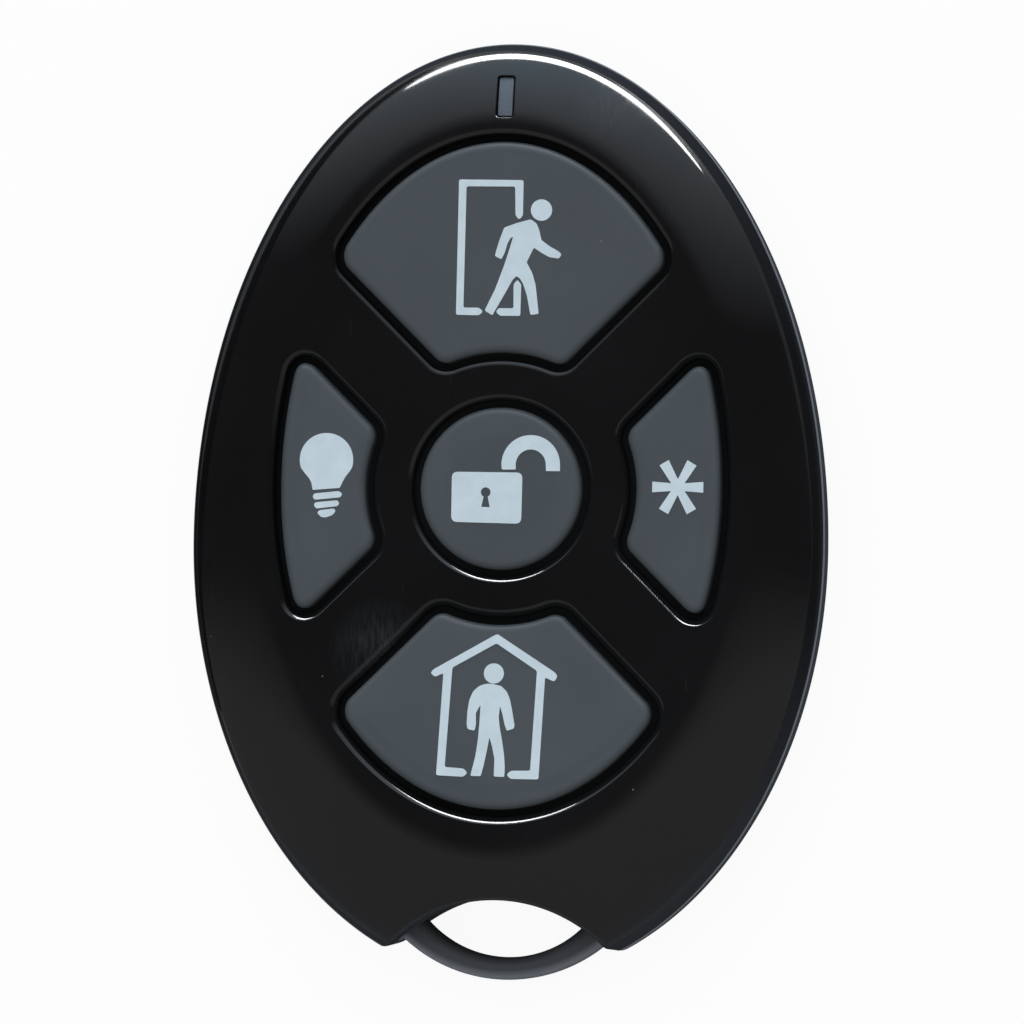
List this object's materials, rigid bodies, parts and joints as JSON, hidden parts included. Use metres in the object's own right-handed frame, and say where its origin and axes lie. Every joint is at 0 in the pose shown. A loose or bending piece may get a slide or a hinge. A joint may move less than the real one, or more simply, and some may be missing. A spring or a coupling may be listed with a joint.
{
  "type": "alarm key fob",
  "caption": "Egg-shaped alarm remote with a gloss cover, soft press keys around a round centre key, a status light at the nose and a key-ring loop.",
  "frame": {"origin": "centre of the flat back, under the middle of the length and width", "axes": "+Z out of the front face, +Y towards the nose with the status light"},
  "size_m": [0.0406, 0.06, 0.0116],
  "materials": {
    "gloss_black": "polished, moulded",
    "satin_grey": "satin, moulded",
    "key_silicone": "matte silicone",
    "mat_silicone": "matte silicone",
    "clear_window": "translucent moulded",
    "board_laminate": "green solder mask",
    "chip_epoxy": "moulded epoxy",
    "plunger_nylon": "moulded",
    "led_epoxy": "moulded epoxy",
    "screw_steel": "zinc plated",
    "cell_steel": "nickel plated",
    "plated_strip": "nickel plated strip",
    "antenna_brass": "stamped strip",
    "capacitor_ceramic": "fired ceramic"
  },
  "bodies": {
    "case": {"front_cover": "gloss_black", "rear_cover": "satin_grey", "case_screws": "screw_steel", "keypad_mat": "mat_silicone", "circuit_board": "board_laminate", "light_pipe": "clear_window", "indicator_led": "led_epoxy", "coin_cell": "cell_steel", "battery_clip": "plated_strip", "battery_contact": "plated_strip", "controller_chip": "chip_epoxy", "transmitter_chip": "chip_epoxy", "crystal": "cell_steel", "loop_antenna": "antenna_brass", "chip_capacitors": "capacitor_ceramic", "away_switch": "chip_epoxy", "disarm_switch": "chip_epoxy", "stay_switch": "chip_epoxy", "light_switch": "chip_epoxy", "star_switch": "chip_epoxy"},
    "away_button": {"away_key": "key_silicone", "away_plunger": "plunger_nylon"},
    "disarm_button": {"disarm_key": "key_silicone", "disarm_plunger": "plunger_nylon"},
    "stay_button": {"stay_key": "key_silicone", "stay_plunger": "plunger_nylon"},
    "light_button": {"light_key": "key_silicone", "light_plunger": "plunger_nylon"},
    "star_button": {"star_key": "key_silicone", "star_plunger": "plunger_nylon"}
  },
  "joints": [
    {"name": "away_press", "type": "slide", "parent": "case", "child": "away_button", "axis": [0, 0, -1], "range_m": [0, 0.0004], "stiffness_N_per_m": 1500},
    {"name": "disarm_press", "type": "slide", "parent": "case", "child": "disarm_button", "axis": [0, 0, -1], "range_m": [0, 0.0004], "stiffness_N_per_m": 1500},
    {"name": "stay_press", "type": "slide", "parent": "case", "child": "stay_button", "axis": [0, 0, -1], "range_m": [0, 0.0004], "stiffness_N_per_m": 1500},
    {"name": "light_press", "type": "slide", "parent": "case", "child": "light_button", "axis": [0, 0, -1], "range_m": [0, 0.0004], "stiffness_N_per_m": 1500},
    {"name": "star_press", "type": "slide", "parent": "case", "child": "star_button", "axis": [0, 0, -1], "range_m": [0, 0.0004], "stiffness_N_per_m": 1500}
  ]
}
